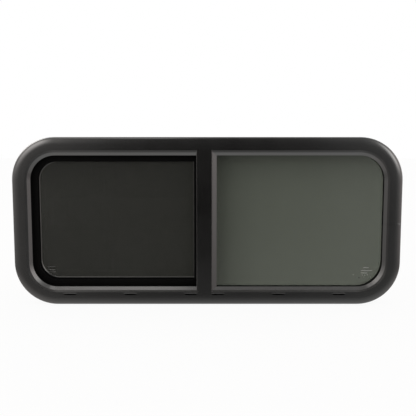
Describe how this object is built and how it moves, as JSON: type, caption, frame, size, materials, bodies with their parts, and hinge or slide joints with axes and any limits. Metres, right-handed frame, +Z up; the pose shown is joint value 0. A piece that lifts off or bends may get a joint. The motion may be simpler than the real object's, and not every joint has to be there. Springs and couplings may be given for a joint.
{
  "type": "caravan window",
  "caption": "Wide, low caravan window with rounded corners: a bent frame, a centre bar, a fixed tinted pane, and a sliding pane behind an insect screen.",
  "frame": {"origin": "on the back of the flange, where it meets the wall's outer skin, at the middle of the bottom edge's land", "axes": "+X to the right seen from outside, +Y through the wall towards the inside, +Z up"},
  "size_m": [0.943, 0.049, 0.4096],
  "materials": {
    "powder_coat": "satin black powder coat on aluminium",
    "screen_coat": "satin black coat on thin aluminium",
    "ring_coat": "satin black powder coat on aluminium",
    "tinted_glass": "smooth, grey-green safety glass",
    "black_rubber": "matt black rubber",
    "screen_mesh": "charcoal glass-fibre insect mesh",
    "black_pile": "black brush pile",
    "black_plastic": "fine-grained black nylon",
    "pin_steel": "plain steel"
  },
  "bodies": {
    "root": {"outer_frame": "powder_coat", "left_reveal_seal": "black_rubber", "right_reveal_seal": "black_rubber", "centre_bar": "powder_coat", "centre_bar_bead": "powder_coat", "centre_bar_pile": "black_pile", "fixed_pane": "tinted_glass", "fixed_pane_gasket": "black_rubber", "screen_bow": "screen_coat", "screen_stile": "screen_coat", "screen_mesh": "screen_mesh", "screen_cord": "black_rubber", "glass_run_channel": "black_rubber", "sliding_pane": "tinted_glass", "sliding_rail": "powder_coat", "sliding_rail_glazing": "black_rubber", "latch_base": "black_plastic", "latch_lever": "black_plastic", "latch_pin": "pin_steel", "clamp_ring": "ring_coat"}
  },
  "joints": []
}
